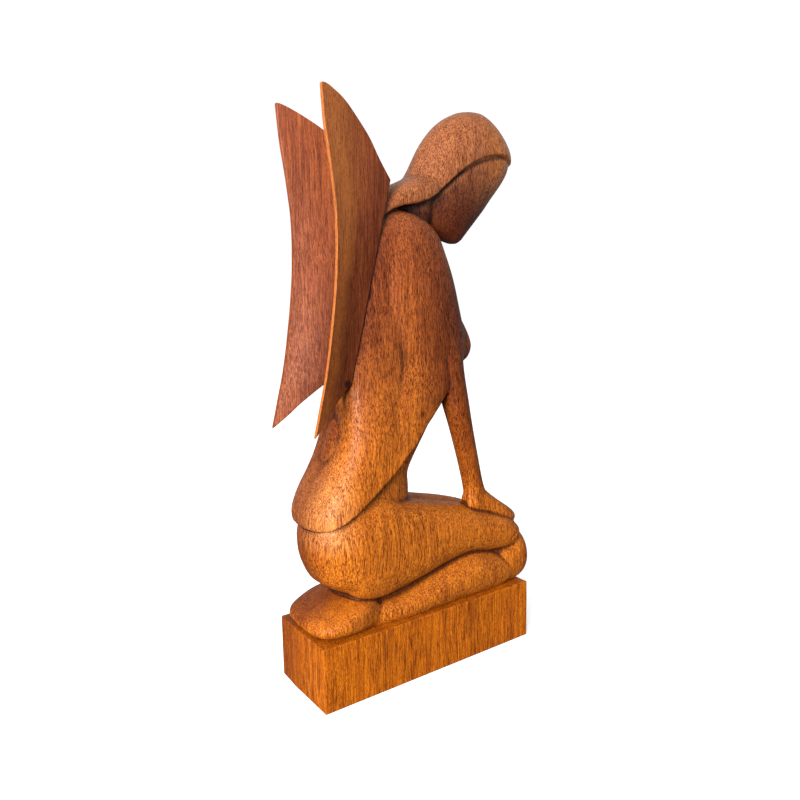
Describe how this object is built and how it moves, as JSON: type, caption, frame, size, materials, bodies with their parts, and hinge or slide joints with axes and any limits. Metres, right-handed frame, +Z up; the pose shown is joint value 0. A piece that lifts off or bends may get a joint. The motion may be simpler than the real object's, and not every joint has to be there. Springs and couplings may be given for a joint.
{
  "type": "carved wooden figurine",
  "caption": "Carved wooden figurine of a kneeling, head-bowed angel with smooth upright wings on a rectangular block plinth.",
  "frame": {"origin": "middle of the plinth's underside", "axes": "+Z up; the figure faces -Y; its right side, the one whose arm reaches to the knee, is -X; the plinth's long side lies along Y"},
  "size_m": [0.049, 0.1466, 0.304],
  "materials": {
    "carved_wood": "red-brown tropical hardwood, vertical grain, rubbed satin wax",
    "plinth_wood": "orange-brown tropical hardwood, vertical grain, rubbed satin wax",
    "wing_wood": "red-brown tropical hardwood, vertical grain, rubbed satin wax",
    "dowel_wood": "plain unfinished dowel"
  },
  "bodies": {
    "root": {"kneeling_figure": "carved_wood", "plinth": "plinth_wood", "left_wing": "wing_wood", "right_wing": "wing_wood", "left_wing_upper_dowel": "dowel_wood", "left_wing_lower_dowel": "dowel_wood", "right_wing_upper_dowel": "dowel_wood", "right_wing_lower_dowel": "dowel_wood", "front_plinth_dowel": "dowel_wood", "rear_plinth_dowel": "dowel_wood"}
  },
  "joints": []
}
